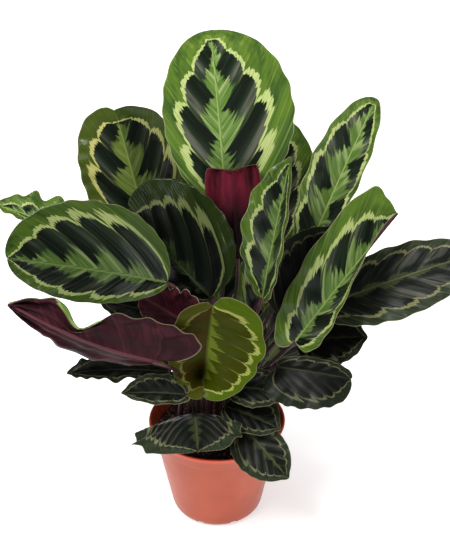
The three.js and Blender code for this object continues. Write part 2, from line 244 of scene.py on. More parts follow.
# %% [markdown]
# ## The upper side of a blade
# A calathea's pattern follows its veins. From the margin inwards there is a green border, a pale ring
# that runs in arches, near-black fingers that sweep forwards between the veins, and a light green
# feather along the midrib whose teeth point along the veins too. A painted picture would blur and
# stretch, so the pattern is a formula on attributes that each blade carries:
#
# - along: 0 at the base, 1 at the tip; across: 0 at the midrib, 1 at either margin, and more than
#   that where the pattern draws in before it reaches the tip;
# - vein: counts the fingers, and is the same all the way along one lateral vein;
# - beside and rim: the distance to the midrib and to the margin, in millimetres;
# - age, feather and ring: how old the leaf is, how strong its light feather is and how far out its
#   ring lies; tone: painted shade and light, how far the leaf's colours are darkened for
#   the shade it sits in, or brightened where it is lit; blush: how brown a young leaf still
#   is, and how much painted crimson glow of light from behind its under side shows; olive: how far a
#   grown leaf has turned from green to yellow.
#
# Noise that is stretched along the veins roughens every border, which gives the feathered look. A
# young leaf hasn't its full wax yet and an old one has lost some of it, so both have the same pattern
# with less shine.

# %% Material: leaf, upper side
RING_MIDDLE = 0.45  # where along the blade the ring lies furthest out
RING_DRAW = 0.85  # how much of its reach it loses at the tip
PATTERN = ("along", "across", "vein", "beside", "rim", "tone", "blush", "seed")  # both sides read these


def stretched_grain(tree, vein, across, seed, counts, length):
    """Noise in streaks along the veins: counts streaks to a finger, length of them to a half blade."""
    return grain(tree, vector(tree, vein * counts, across * length, seed), roughness=0.6)


def comb(vein, shift, counts):
    """Sharp teeth: 0 between them and 1 at their points, counts of them to a finger."""
    return ((vein * counts + shift).math("FRACT") - 0.5).math("ABSOLUTE") * 2


def leaf_upper_side(name, shine):
    material, tree, shader = new_material(name, rgb(70, 105, 45))
    along, across, vein, beside, rim, tone, blush, seed = read(tree, *PATTERN)
    age, feather, ring_place, olive = read(tree, "age", "feather", "ring", "olive")
    old = age.step(0.0, 1.0)
    young = (age * -1).step(0.0, 1.0)

    coarse = stretched_grain(tree, vein, across, seed, 1.1, 1.5)
    fringe = stretched_grain(tree, vein, across, seed + 3, 6, 1.2)
    teeth = stretched_grain(tree, vein, across, seed + 9, 15, 1.6)
    hair = stretched_grain(tree, vein, across, seed + 5, 45, 2.5)
    long_teeth = comb(vein, coarse * 3, 4.3) * fringe
    short_teeth = comb(vein, fringe * 2, 7.7) * (teeth + 0.2)

    cell = vein.math("FRACT")
    arch = (cell * math.pi).math("SINE").math("MAXIMUM", 0.001) ** 0.45
    offset = (along - RING_MIDDLE) * 1.82
    draw = offset * offset * offset * offset * -RING_DRAW + 1
    ring = (ring_place - 0.19 + arch * 0.21 + (coarse - 0.5) * 0.10) * draw
    inner = ring - arch * 0.04 + short_teeth * 0.06 - long_teeth * 0.05 + (hair - 0.5) * 0.05
    spread = (arch * 0.04 + long_teeth * 0.1 + short_teeth * 0.05) * (1 - old * 0.5 - young * 0.35)
    outer = ring + 0.012 + spread + (hair - 0.5) * 0.07
    inside = 1 - (across - inner).step(-0.008, 0.010)
    within_ring = (1 - (across - outer).step(-0.010, 0.014)) * (1 - inside)

    swell = (along ** 0.8 * math.pi).math("SINE").math("MAXIMUM", 0.0) ** 0.8
    saw = (1 - cell).math("MAXIMUM", 0.0) ** 0.8 * cell.step(-0.02, 0.10)
    tongue = swell * (saw * 0.34 + 0.035) * (1 + (coarse - 0.5) * 1.2)
    fray = long_teeth * 0.26 + short_teeth * 0.1 + (hair - 0.5) * 0.5 - 0.05
    tongue = (tongue + fray * (saw * 0.9 + 0.1)) * feather
    in_feather = (1 - (across - tongue).step(-0.012, 0.014)) * inside

    edge = cell.math("MINIMUM", 1 - cell)
    vein_line = (1 - edge.step(0.015, old * 0.04 + 0.05)) * coarse.step(0.3, 0.6)
    vein_line = vein_line * (across.step(0.28, 0.6) + old * 0.3).math("MINIMUM", 1.0) * (1 - old * 0.4)
    second_vein = ((vein * 5).math("FRACT") - 0.5).math("ABSOLUTE").step(0.36, 0.5)
    midrib = (1 - (beside / (1.35 - along * 0.9)).step(0.55, 1.0)) * (feather * 0.6 + 0.2)
    blotch = grain(tree, vector(tree, along * 9, across * 5, seed + 20), 1.0, 4.0, 0.65)
    dry = blotch.step(0.63, 0.72) * (1 - rim.step(1.0, 9.0)) * (old * 0.8 + 0.25)
    # painted highlights: pale grey streaks between the veins, where the swollen pleats catch the lamps,
    # and on old leaves more of them
    painted_sheen_streak = cell.step(0.05, 0.18) * (1 - cell.step(0.26, 0.5)) * fringe.step(0.38, 0.6)
    painted_sheen_streak = (painted_sheen_streak + old * teeth.step(0.5, 0.7) * 0.35) * (1 - young * 0.8)

    border = tint(
        tree, rgb(88, 116, 40),
        rgb(46, 72, 30), coarse.step(0.35, 0.75),
        rgb(128, 148, 66), fringe.step(0.50, 0.72) * 0.6,
        rgb(34, 56, 28), teeth.step(0.52, 0.75) * 0.5 + hair.step(0.5, 0.7) * 0.25,
        tint(tree, rgb(40, 48, 36), rgb(66, 72, 56), fringe.step(0.4, 0.7)), old * 0.95,
        rgb(100, 134, 28), young * 0.85,
        rgb(104, 84, 22), young * blush * 0.7,
        rgb(82, 90, 34), olive * 0.8,
    )
    finger = tint(
        tree, rgb(38, 50, 35),
        rgb(19, 26, 18), cell.step(0.3, 0.7),
        rgb(44, 60, 38), fringe.step(0.48, 0.75) * 0.6,
        rgb(24, 27, 24), old * 0.85,
        rgb(72, 86, 6), young * 0.94,
        rgb(86, 58, 14), young * blush * coarse.step(0.2, 0.7),
        # painted highlight streaks on the dark fingers
        rgb(116, 114, 102), painted_sheen_streak * across.step(0.1, 0.4) * tone * 0.6,
    )
    pale = tint(
        tree, rgb(172, 184, 118),
        rgb(142, 160, 84), teeth.step(0.42, 0.7),
        rgb(116, 114, 84), old * 0.9,
        rgb(196, 204, 110), young * 0.9,
        rgb(120, 98, 34), young * blush * 0.75,
        rgb(214, 204, 120), olive * 0.85,
    )
    light = tint(
        tree, rgb(82, 112, 46),
        rgb(140, 160, 100), fringe.step(0.42, 0.7),
        rgb(58, 86, 34), teeth.step(0.55, 0.8) * 0.5,
        rgb(84, 88, 56), old * 0.9,
        rgb(136, 154, 34), young * 0.8,
        rgb(132, 146, 60), olive * 0.7,
    )
    color = tint(
        tree, border,
        finger, inside,
        light, in_feather * feather.step(0.0, 0.9),
        pale, within_ring,
        pale, vein_line * inside * 0.5,
        rgb(20, 30, 20), second_vein * 0.2,
        tint(tree, rgb(142, 166, 86), rgb(104, 108, 80), old), midrib * (1 - along.step(0.9, 0.99)),
        rgb(118, 86, 52), dry * 0.8,
        rgb(176, 172, 124), (1 - rim.step(0.25, 0.8)) * 0.7,
    )
    gloss = 0.2 + within_ring * 0.06 + in_feather * 0.04 + (coarse - 0.5) * 0.12 + old * 0.13
    fill(
        tree, shader,
        # painted shade and light: each leaf's colours are darkened for the shade it sits in, or
        # brightened where it is lit, the pale ring a little less than the rest
        Base_Color=brighten(tree, color, tone + (tone ** 0.7 - tone) * within_ring),
        Roughness=gloss + young * blush * 0.25, IOR=1.34, Specular_IOR_Level=shine,
        Normal=bump(tree, second_vein * -0.9 + teeth * 0.5, 0.0003, 0.3),
    )
    return material


UPPER_SIDES = {
    -1: leaf_upper_side("young leaf upper side", 0.1),
    0: leaf_upper_side("leaf upper side", 0.27),
    1: leaf_upper_side("old leaf upper side", 0.14),
}
print("each upper side has", len(UPPER_SIDES[0].node_tree.nodes), "nodes")

# %% [markdown]
# ## The under side of a blade
# Underneath, a calathea is burgundy, with paler, pinker veins and a satin surface. A leaf with light
# behind it glows crimson; that glow is painted light in its colour, dark at the base and brighter
# towards the tip, with painted shade along its lengthwise folds. The blush attribute says
# how much of that painted glow a leaf shows, and the turned attribute marks the strip where a margin
# has rolled over, so that a little of the green upper side looks out. The painted shade and light of
# each leaf darkens or brightens the whole colour, as on the upper side.

# %% Material: leaf, under side


def leaf_under_side():
    material, tree, shader = new_material("leaf under side", rgb(80, 35, 50))
    along, across, vein, beside, rim, tone, blush, seed = read(tree, *PATTERN)
    (turned,) = read(tree, "turned")
    cell = vein.math("FRACT")
    edge = cell.math("MINIMUM", 1 - cell)
    streaks = stretched_grain(tree, vein, across, seed + 31, 9, 1.2)
    hair = stretched_grain(tree, vein, across, seed + 37, 40, 2.0)
    cloud = grain(tree, vector(tree, along * 3, across * 2, seed + 41), 1.0, 3.0)
    folds = grain(tree, vector(tree, across * 2.4, along * 0.8, seed + 47))
    # darker streaks of the under side's own colour, and on a glowing leaf painted shade along its
    # lengthwise folds
    streaks_and_fold_shade = (streaks * (1 - blush) + folds * blush).step(0.42, 0.62)
    rib = 1 - (beside / (2.4 - along * 1.6)).step(0.5, 1.0)
    color = tint(
        tree, rgb(72, 28, 38),
        rgb(46, 17, 24), cloud.step(0.35, 0.65),
        # painted light: a leaf lit from behind is painted crimson, dark at the base and glowing brighter
        # towards the tip
        tint(tree, rgb(26, 8, 11), rgb(182, 48, 78), along.step(0.4, 1.0)), blush,
        # painted shade along the folds of a glowing leaf; darker streaks on the others
        rgb(24, 8, 12), streaks_and_fold_shade * (blush * 0.25 + 0.55),
        rgb(112, 56, 68), (1 - edge.step(0.015, 0.06)) * 0.12 * (1 - blush),
        rgb(100, 48, 60), hair.step(0.62, 0.8) * 0.25,
        rgb(118, 66, 72), rib * 0.6 * (1 - blush * 0.8),
        rgb(176, 160, 128), (1 - rim.step(0.25, 0.9)) * 0.7,
        tint(tree, rgb(96, 128, 48), rgb(176, 190, 120), streaks.step(0.4, 0.6)), turned,
    )
    relief = hair * 0.7 + streaks * 0.6 + (1 - edge.step(0.0, 0.06)) * 0.8
    # painted shade and light, as on the upper side: the leaf's own amount darkens or brightens the whole
    # colour
    fill(
        tree, shader, Base_Color=brighten(tree, color, tone), Roughness=0.5 + (cloud - 0.5) * 0.2,
        IOR=1.3, Specular_IOR_Level=0.2, Normal=bump(tree, relief, 0.0004, 0.7),
    )
    return material


under_side = leaf_under_side()
print("leaf under side has", len(under_side.node_tree.nodes), "nodes")

# %% [markdown]
# ## The leaves' own numbers
# Every blade comes from one rule, and these are the numbers that make each leaf itself. Lengths are
# in millimetres. The midribs are the frame's own, so each finer blade lies where its solid is; some
# halves are a few millimetres wider or narrower than there, where the margin asks for it:
#
# - first come foot, where the stalk leaves the soil, base and tip, the midrib's two ends, face, the way
#   the upper side looks, and width, of the left and the right half;
# - bow arches the midrib; cup curls and fold lifts each half; wave
#   is height, number and start of the waves; lobe and shoulder reach past base and tip; widest, blunt
#   and notch shape the outline; lean and arrive bend the stalk;
# - age runs from -1, just unrolled, to 1, old; feather, ring, blush and olive are for the
#   colours, and tone is the painted shade and light of each leaf, darker for a leaf in
#   shade; fingers is how many dark fingers lie along the midrib;
# - pleat is how far the blade swells between two veins, ruffle the height and number of the small
#   waves along the margin, scallop the depth and number of the bays in its outline, and point the
#   length of the tip's small point; pit sinks the blade in at one spot, by depth, at across and
#   along, with its size; flutes is the height and number of the folds that run lengthwise on each
#   half; furl folds a half up more and more towards the tip; hollow is over a half where the margin
#   is hollow between shoulder and tip;
# - closed is how far in front of the base and behind the tip the ring shuts, and spear how much it
#   narrows towards the tip; slant is how far forwards the side veins lean and how much they curve;
# - a pair of values is for the left and the right half.

# %% The table of leaves
DEFAULTS = dict(
    bow=0.05, cup=(0.2, 0.2), fold=(0.08, 0.08), wave=(2.5, 3, 0), lobe=(4, 4), shoulder=(0, 0),
    widest=1, blunt=0.52, notch=(0, 0, 0, 1), lean=0.5, arrive=0.22,
    # painted shading 0.85 paints a leaf a little darker than its own colours; a leaf in deeper shade has
    # less
    age=0, feather=1, ring=0.74, tone=0.85, blush=0, olive=0, fingers=5.2,
    pleat=0.9, ruffle=(0.5, 11), scallop=(0.012, 9), point=3.5,
    pit=(0, 0, 0, 1), flutes=(0, 2), closed=(0, 0),
    hollow=0.5, slant=(1.12, 0.9), spear=0, furl=(0, 0),
)
LEAVES = {}


def add_leaf(name, foot, base, tip, face, width, **own):
    """Adds a leaf: five measures, and then whatever isn't as in DEFAULTS."""
    measures = dict(foot=foot, base=base, tip=tip, face=face, width=width)
    LEAVES[name] = {**DEFAULTS, **measures, **own}


add_leaf(
    "top", (0, 12), (11, 22, 417), (-6, 75, 600), (0.05, -0.9, 0.4), (62, 85), bow=0.04,
    cup=(0.2, 0.3), fold=(0, 0.05), wave=(2, 2, 0.4), blunt=0.42, tone=0.9, fingers=4.2,
    ruffle=(0.3, 9), closed=(0, 0.07), ring=(0.7, 0.66), spear=0.4, feather=0.85, point=0.5,
    widest=1.12,
)
add_leaf(
    "upper_left", (-16, 22), (-76, 40, 350), (-116, 86, 500), (0.1, -0.92, 0.35), (58, 71),
    cup=(0.1, 0.7), fold=(0, 0.15), wave=(3, 3, 1.2), blunt=0.3, fingers=4, ruffle=(2, 9),
    closed=(0, 0.1), pleat=1.4, shoulder=(9, 1), widest=1.25, tone=(0.54, 0.32), olive=(0.7, 0.4),
)
add_leaf(
    "far_left", (-26, 12), (-136, 66, 336), (-257, 55, 398), (-0.3, -0.25, 0.95), (28, 34),
    bow=0.02, cup=(0.1, 0.1), fold=(0.3, 0.3), wave=(4, 4, 0), feather=1.3, tone=1, ring=0.48,
    scallop=(0.07, 7), ruffle=(2.5, 6), pleat=1.5,
)
add_leaf(
    "left", (-24, -6), (-55, -45, 350), (-221, -82, 400), (-0.1, -0.8, 0.6), (37, 75), bow=0.06,
    cup=(0.2, 0.3), fold=(0, 0.05), wave=(2, 3, 0), blunt=0.48, feather=0.95, ring=0.76,
    shoulder=(0, 8), widest=(1.2, 1), tone=(0.32, 0.4), point=0.5,
)
add_leaf(
    "centre", (-8, -6), (-7, -38, 326), (-95, 12, 405), (0, -0.9, 0.4), (48, 78), cup=(-0.3, 0.12),
    fold=(-0.6, 0.05), wave=(2, 3, 0), blunt=0.42, shoulder=(0, 24), feather=0.45, fingers=4.2,
    ring=0.7, tone=0.11,
)
add_leaf(
    "crimson", (6, 0), (25, 0, 352), (18, 7, 462), (0, 0.97, -0.2), (34, 34), bow=-0.05,
    cup=(0.5, 0.5), wave=(3, 2, 0), blunt=0.06, widest=2, shoulder=(3.5, 3), blush=1, point=0,
    ruffle=(1.5, 4), scallop=(0, 1), pleat=1.4, fingers=4, flutes=(4, 1.6), tone=0.25,
)
add_leaf(
    "narrow", (14, -12), (52, -45, 331), (80, -20, 487), (-0.2, -0.9, 0.3), (37, 42), bow=0.04,
    cup=(0.1, 0.3), fold=(0, 1), wave=(3.5, 5, 0), blunt=0.6, widest=(1.1, 0.78), feather=1.1,
    fingers=4, ring=0.7, ruffle=(3, 6), scallop=(0.06, 6), closed=(0, 0.04), spear=0.25, tone=0.62,
)
add_leaf(
    "behind_top", (12, 24), (79, 50, 354), (75, 85, 494), (0.2, -0.9, 0.3), (38, 40), bow=0.04,
    fold=(0.1, 0.1), pleat=1.4, ring=0.45, tone=1.3, feather=0.3,
)
add_leaf(
    "upper_right", (24, 14), (101, 30, 331), (182, 80, 520), (-0.3, -0.9, 0.3), (41, 28), bow=0.03,
    fold=(0.4, 0.35), wave=(3, 5, 0), blunt=0.45, widest=1.25, point=0, feather=1.7, tone=0.95,
    age=0.2, fingers=4.4, ring=0.82, scallop=(0.03, 7), closed=(0, 0.05),
)
add_leaf(
    "right", (27, -14), (91, -40, 268), (196, -15, 413), (-0.3, -0.85, 0.4), (50, 32), bow=0.04,
    cup=(0.1, 0.3), fold=(0.1, 0.1), wave=(3.5, 5, 0), blunt=0.32, widest=(1.4, 0.7), lobe=(26, 2),
    shoulder=(42, 0), feather=1.15, tone=0.74, fingers=4.4, ring=(0.66, 0.78), scallop=(0.03, 6),
    point=9, hollow=1.6, furl=(0, 1.5),
)
add_leaf(
    "far_right", (32, 4), (122, 9, 284), (300, -10, 370), (0, -0.7, 0.7), (40, 48), cup=(-0.2, 0.1),
    fold=(0, 0.1), wave=(3, 5, 0), age=1, feather=0.42, tone=0.8, scallop=(0.02, 8), pleat=1.8,
    fingers=6,
)
add_leaf(
    "low_right", (36, -12), (98, 0, 243), (175, -14, 258), (0, -0.6, 0.8), (38, 38), cup=(0.1, 0.1),
    wave=(3, 4, 0), age=1, feather=0.3, tone=0.36, scallop=(0.03, 8),
)
add_leaf(
    "lowest_right", (24, -26), (72, -45, 236), (155, -60, 230), (0, -0.75, 0.65), (17, 45),
    bow=0.08, cup=(0.1, 0.1), wave=(2, 3, 0), lean=0.75, age=1, feather=0.3, tone=0.34, point=1,
    scallop=(0.025, 8), blunt=0.34, widest=(1, 0.8), lobe=(4, 14), shoulder=(2, 3),
)
add_leaf(
    "young", (-14, -30), (-15, -68, 210), (-5, -52, 320), (0.1, -0.8, 0.6), (50, 74), bow=-0.12,
    cup=(0.5, 0.9), fold=(0.1, 0.1), wave=(4, 4, 0), lobe=(6, 6), blunt=0.33, shoulder=(12, 30),
    age=-1, closed=(0.2, 0), widest=1.3, fingers=8, scallop=(0.03, 5), pit=(26, -0.14, 0.2, 12),
    blush=(0.9, 0.25), slant=(-0.35, 0.1), tone=(0.4, 0.5), ring=(0.72, 0.8), feather=(0.1, 0.65),
)
add_leaf(
    "turned", (-47, -16), (-66, -95, 277), (-216, -110, 358), (0.1, 0.85, -0.2), (46, 40), bow=-0.1,
    cup=(0.1, 0.1), fold=(0.1, 0.65), wave=(3, 4, 0), lobe=(46, 4), widest=(0.62, 0.95),
    notch=(0, 0.63, 0.72, 0.085), lean=0.4, arrive=0.34, pleat=1.2, fingers=4, tone=0.68,
    ruffle=(1.5, 9), flutes=(4, 2), scallop=(0.035, 8),
)
add_leaf(
    "under_turned", (-44, -12), (-57, -46, 231), (-169, -60, 238), (0, -0.4, 0.95), (20, 24),
    cup=(0.1, 0.1), fold=(0.3, 0.3), wave=(3, 3, 0), age=1, feather=0, tone=0.4, ruffle=(4, 7),
    scallop=(0.08, 7), lobe=(16, 18),
)
add_leaf(
    "wavy", (-14, -16), (-12, -38, 272), (-83, -50, 336), (0.1, 0.95, -0.05), (32, 32), bow=0.03,
    wave=(4, 4, 0), blush=0.1, pleat=1.8, ruffle=(4.5, 9), scallop=(0.06, 9), tone=0.75,
)
add_leaf(
    "small_left", (-34, 0), (-61, -8, 283), (-134, -18, 311), (0, -0.6, 0.8), (22, 30),
    wave=(2, 3, 0), age=1, feather=0.2, tone=0.6, ruffle=(1.5, 6), scallop=(0.04, 7),
)
add_leaf(
    "low_left", (-26, -40), (-36, -76, 219), (-103, -98, 237), (0, -0.6, 0.8), (15, 22), bow=0.06,
    cup=(0.1, 0.1), wave=(3, 3, 0), age=1, feather=0.3, tone=0.5, lobe=(10, 10),
)
add_leaf(
    "front", (-8, -46), (-26, -55, 177), (-20, -140, 188), (0, -0.2, 1), (54, 76), bow=0.1,
    cup=(-0.4, -0.5), fold=(0, 0), wave=(4, 3, 0), age=1, tone=0.7, pleat=1.4, point=1, feather=0.4,
    scallop=(0.04, 5), ruffle=(1.5, 6), blunt=0.44, fingers=5.5,
)
add_leaf(
    "over_rim", (14, -44), (28, -58, 163), (82, -105, 123), (0.1, -0.7, 0.6), (27, 36), bow=0.08,
    cup=(0.1, 0.1), wave=(2, 3, 0), age=1, feather=0.5, tone=0.62, ruffle=(1.5, 7),
)
add_leaf(
    "rim_right", (4, -34), (10, -46, 181), (72, -76, 171), (0.1, -0.6, 0.8), (34, 24), bow=0.06,
    cup=(0.1, 0.1), wave=(2, 3, 0), age=1, tone=0.5, feather=0.4,
)
add_leaf(
    "tucked", (12, -26), (14, -54, 215), (77, -64, 213), (0, -0.5, 0.85), (26, 26), cup=(0.1, 0.1),
    wave=(2, 3, 0), age=1, tone=0.45, feather=0.3,
)
add_leaf(
    "inner", (22, 2), (77, -5, 283), (132, 10, 388), (-0.3, -0.85, 0.4), (42, 42), wave=(2, 3, 0),
    age=1, feather=0.4, tone=0.25,
)
add_leaf(
    "back_left", (-10, 34), (-36, 48, 222), (-92, 118, 320), (-0.1, -0.7, 0.7), (50, 50), bow=0.08,
    wave=(3, 3, 0.6),
)
add_leaf(
    "back", (4, 40), (2, 98, 229), (0, 190, 340), (0, -0.2, 0.95), (48, 48), wave=(3, 3, 1.4),
    arrive=0.34, lean=0.35,
)
add_leaf(
    "back_right", (20, 38), (56, 62, 208), (88, 135, 318), (0.1, -0.7, 0.7), (50, 48), bow=0.08,
    wave=(3, 3, 2.2),
)
add_leaf(
    "low_back_left", (-28, 32), (-60, 80, 206), (-122, 150, 240), (-0.2, 0.3, 0.9), (40, 40),
    bow=0.1, wave=(3, 3, 0.3), age=1,
)
add_leaf(
    "low_back_right", (34, 26), (56, 24, 190), (122, 76, 266), (0.2, -0.6, 0.7), (40, 46), bow=0.1,
    wave=(3, 3, 1.1), age=1,
)
print(len(LEAVES), "leaves, the longest",
      round(max(math.dist(leaf["base"], leaf["tip"]) for leaf in LEAVES.values())), "mm")

# %% [markdown]
# ## One rule for every blade
# The midrib is an arch from base to tip. At each place along it the blade spreads to both sides by the
# outline's width, folded up at the midrib, curled, and waved towards the margin. NumPy works out a
# whole sheet of points at once. The same rule, with fewer points, made the frame's blades; here the
# sheet is fine enough for a smooth edge and gets a small pointed tip and ruffles along the margin.

# %% The blade's rule
LOBE_SCALE = 1.65
LOBE_EASE = 1.6
WAVE_SHIFT = 1.7
BLADE_END = 2.1
TIP_END = 0.7
POINT_START = 0.975
FLAT_ARC = 1e-6


def unit(v):
    return v / np.linalg.norm(v, axis=-1, keepdims=True)


def midrib(leaf, v):
    """Place, tangent, normal and side of the midrib at each v from 0 to 1."""
    v = np.asarray(v, float)[..., None]
    base = np.array(leaf["base"], float)
    along = np.array(leaf["tip"], float) - base
    length = np.linalg.norm(along)
    along = along / length
    face = np.array(leaf["face"], float)
    up = unit(face - along * (face @ along))
    point = base + along * length * v + up * length * leaf["bow"] * np.sin(np.pi * v)
    tangent = unit(along + up * leaf["bow"] * np.pi * np.cos(np.pi * v))
    normal = unit(up - tangent * (tangent @ up)[..., None])
    return point, tangent, normal, np.cross(tangent, normal)


def outline(leaf, u, v):
    """Half the blade's width at v, as a share of its widest, on the side that u lies on."""
    widest = np.take(np.broadcast_to(leaf["widest"], 2), (u > 0).astype(int))
    return np.maximum(np.sin(np.pi * v ** widest), 0) ** leaf["blunt"]


def half_width(leaf, u, v):
    """Half the blade's width in millimetres, on the side that u lies on."""
    half = (u > 0).astype(int)
    side, place, depth, breadth = leaf["notch"]
    cut = np.where(half == side, 1 - depth * np.exp(-(((v - place) / breadth) ** 2)), 1)
    ends = BLADE_END + (TIP_END - BLADE_END) * v
    depth, count = leaf["scallop"]  # the second sine makes the bays uneven
    cut = cut + depth * np.sin(2 * np.pi * count * v + 2 * np.sin(5 * v) + 2 * half)
    return np.maximum(np.take(leaf["width"], half) * outline(leaf, u, v) * cut, ends)


def blade_sheet(leaf, u, v):
    """The upper side's points in millimetres, for a grid of u from -1 to 1 and v from 0 to 1."""
    point, tangent, normal, side = midrib(leaf, v)
    half = (u > 0).astype(int)
    reach = np.abs(u)
    width = half_width(leaf, u, v)
    arc = np.take(leaf["cup"], half)
    arc = np.where(arc == 0, FLAT_ARC, arc)
    out = width * np.sin(arc * reach) / arc
    lift = width * (1 - np.cos(arc * reach)) / arc
    height, count, start = leaf["wave"]
    swell = np.sin(np.pi * v) * reach ** 2
    wave = height * swell * np.sin(2 * np.pi * count * v + start + half * WAVE_SHIFT)
    height, count = leaf["ruffle"]
    ruffle = height * np.sqrt(np.maximum(np.sin(np.pi * v), 0)) * reach ** 4
    wave = wave + ruffle * np.sin(2 * np.pi * count * v + 2 * np.sin(7 * v + start) + half)
    height, count = leaf["flutes"]
    wave = wave + height * v * np.minimum(reach * 3, 1) * np.sin(2 * np.pi * count * reach + 1.3 * half)
    fold = np.take(leaf["fold"], half) + np.take(leaf["furl"], half) * v
    across = out * np.cos(fold) - lift * np.sin(fold)
    above = out * np.sin(fold) + lift * np.cos(fold) + wave
    depth, across_at, along_at, size = leaf["pit"]
    length = math.dist(leaf["base"], leaf["tip"])
    off = ((u - across_at) * width) ** 2 + ((v - along_at) * length) ** 2
    above = above - depth * np.exp(-off / size ** 2)
    rounding = LOBE_SCALE * reach ** LOBE_EASE
    back = rounding * np.sqrt(outline(leaf, u, v)) * np.take(leaf["lobe"], half) * (1 - v) ** 2
    ahead = outline(leaf, u, v) ** leaf["hollow"]
    forward = rounding * ahead * np.take(leaf["shoulder"], half) * v ** 2
    forward = forward + leaf["point"] * np.clip((v - POINT_START) / (1 - POINT_START), 0, 1) ** 2
    spread = side * (np.sign(u) * across)[..., None]
    return point + spread + normal * above[..., None] + tangent * (forward - back)[..., None]


middle = blade_sheet(LEAVES["top"], np.array([[0.0]]), np.array([[0.5]]))[0, 0]
print("the top leaf's middle is at", middle.round(1), "mm")

# %% [markdown]
# ## From points to a sheet that knows its pattern
# Each sheet becomes a grid mesh. Every point keeps the attributes that the materials read. A lateral
# vein leaves the midrib at about forty degrees and bends forwards, so all points with the same
# along - lean * x - curve * x * x, with x the distance from the midrib, lie on one vein. The small
# power on along brings the veins closer together near the base.

# %% Sheets with attributes
ROW_STEP = 1.7  # millimetres between two rows of points
COLUMN_COUNT = 64
SEEDS = 97
HALF_SHIFT = 0.37  # fingers, so that the two halves' fingers don't meet at the midrib
SEED_SHIFT = 0.13
FIRST_VEIN = 4  # keeps the count of veins above 0 everywhere
STRIP = 6.5  # millimetres of a turned margin that show the upper side
CROWDING = 0.85  # the power that brings the veins together near the base
SPEAR_START = 0.45  # where along the blade the ring begins to narrow


def grid_mesh(name, points):
    """A mesh of quads from an array of rows and columns of points in millimetres."""
    rows, columns = points.shape[:2]
    index = np.arange(rows * columns).reshape(rows, columns)
    quads = np.stack([index[:-1, :-1], index[:-1, 1:], index[1:, 1:], index[1:, :-1]], axis=-1)
    mesh = bpy.data.meshes.new(name)
    mesh.from_pydata((points.reshape(-1, 3) * MM).tolist(), [], quads.reshape(-1, 4).tolist())
    return mesh


def give(mesh, name, values):
    """Stores one number for each of the mesh's points."""
    attribute = mesh.attributes.new(name, "FLOAT", "POINT")
    attribute.data.foreach_set("value", np.asarray(values, np.float32).ravel())


def seed_of(name):
    """A number that is a leaf's own, so that no two leaves have the same grain."""
    return sum(map(ord, name)) % SEEDS


def sheet_of(name, leaf):
    """The blade's upper side as a mesh, with everything that its materials need to know."""
    length = math.dist(leaf["base"], leaf["tip"])
    rows = max(round(length / ROW_STEP), 50)
    along = 0.5 - 0.5 * np.cos(np.pi * np.linspace(0, 1, rows + 1))
    across = np.linspace(-1, 1, COLUMN_COUNT + 1)
    u, v = np.meshgrid(across, along)
    mesh = grid_mesh(name, blade_sheet(leaf, u, v))
    width = half_width(leaf, u, v)
    beside = np.abs(u) * width
    x = beside / length
    seed = seed_of(name)
    lean, curve = leaf["slant"]
    start = v ** CROWDING - lean * x - curve * x * x
    vein = start * leaf["fingers"] + HALF_SHIFT * (u > 0) + seed * SEED_SHIFT
    near_base, near_tip = np.maximum(leaf["closed"], 1e-9)
    shut = np.maximum(1 - v / near_base, 1 - (1 - v) / near_tip)
    drawn = 1 - leaf["spear"] * np.clip((v - SPEAR_START) / (1 - SPEAR_START), 0, 1) ** 1.5
    side, place, depth, breadth = leaf["notch"]
    beyond = (v - place) / breadth
    rim = (1 - np.abs(u)) * width
    strip = STRIP * np.sin(np.pi * np.clip((beyond + 0.2) / 2.2, 0, 1))
    turned = (depth > 0) * ((u > 0) == (side == 1)) * (rim < strip)
    values = dict(
        along=v, across=np.maximum(np.abs(u) / drawn, shut), vein=vein + FIRST_VEIN, beside=beside,
        seed=np.full(u.shape, seed), rim=rim, turned=turned,
    )
    for key in ("age", "feather", "ring", "tone", "blush", "olive"):
        left, right = np.broadcast_to(leaf[key], 2)
        values[key] = np.where(u > 0, right, left)
    for key, numbers in values.items():
        give(mesh, key, numbers)
    return mesh


print("a leaf's seed is a number under", SEEDS, "- the top leaf's is", seed_of("top"))

# %% [markdown]
# ## Ribs, thickness and two sides, by Geometry Nodes
# What repeats along a blade is its relief: between two veins the surface swells, at each vein it is
# drawn in, and the midrib is a groove above and a strong rib below. That is a rule on attributes, so a
# Geometry Nodes tree makes it. It pushes the points along their normals, extrudes a copy of the sheet
# downwards to give the blade its thickness, and gives the two sides their own materials.

# %% Tree: blade


def new_tree(name, **inputs):
    """An empty Geometry Nodes tree, and its inputs as fields by their names."""
    tree = bpy.data.node_groups.new(name, "GeometryNodeTree")
    for way in ("INPUT", "OUTPUT"):
        tree.interface.new_socket("Geometry", in_out=way, socket_type="NodeSocketGeometry")
    for label, kind in inputs.items():
        label = label.replace("_", " ")
        tree.interface.new_socket(label, in_out="INPUT", socket_type="NodeSocket" + kind)
    start = tree.nodes.new("NodeGroupInput")
    return tree, {socket.name: Field(tree, socket) for socket in start.outputs}


def give_back(tree, last):
    """Makes the last node's result the tree's own."""
    plug(tree, last, tree.nodes.new("NodeGroupOutput").inputs[0])
    return tree


def named(tree, name):
    """A mesh attribute as a field."""
    return field_of(tree, "GeometryNodeInputNamedAttribute", {"data_type": "FLOAT"}, Name=name)


def along_normal(tree, amount):
    """The surface's normal times a field, as an offset."""
    normal = field_of(tree, "GeometryNodeInputNormal")
    return field_of(tree, "ShaderNodeVectorMath", {"operation": "SCALE"}, Vector=normal, Scale=amount)


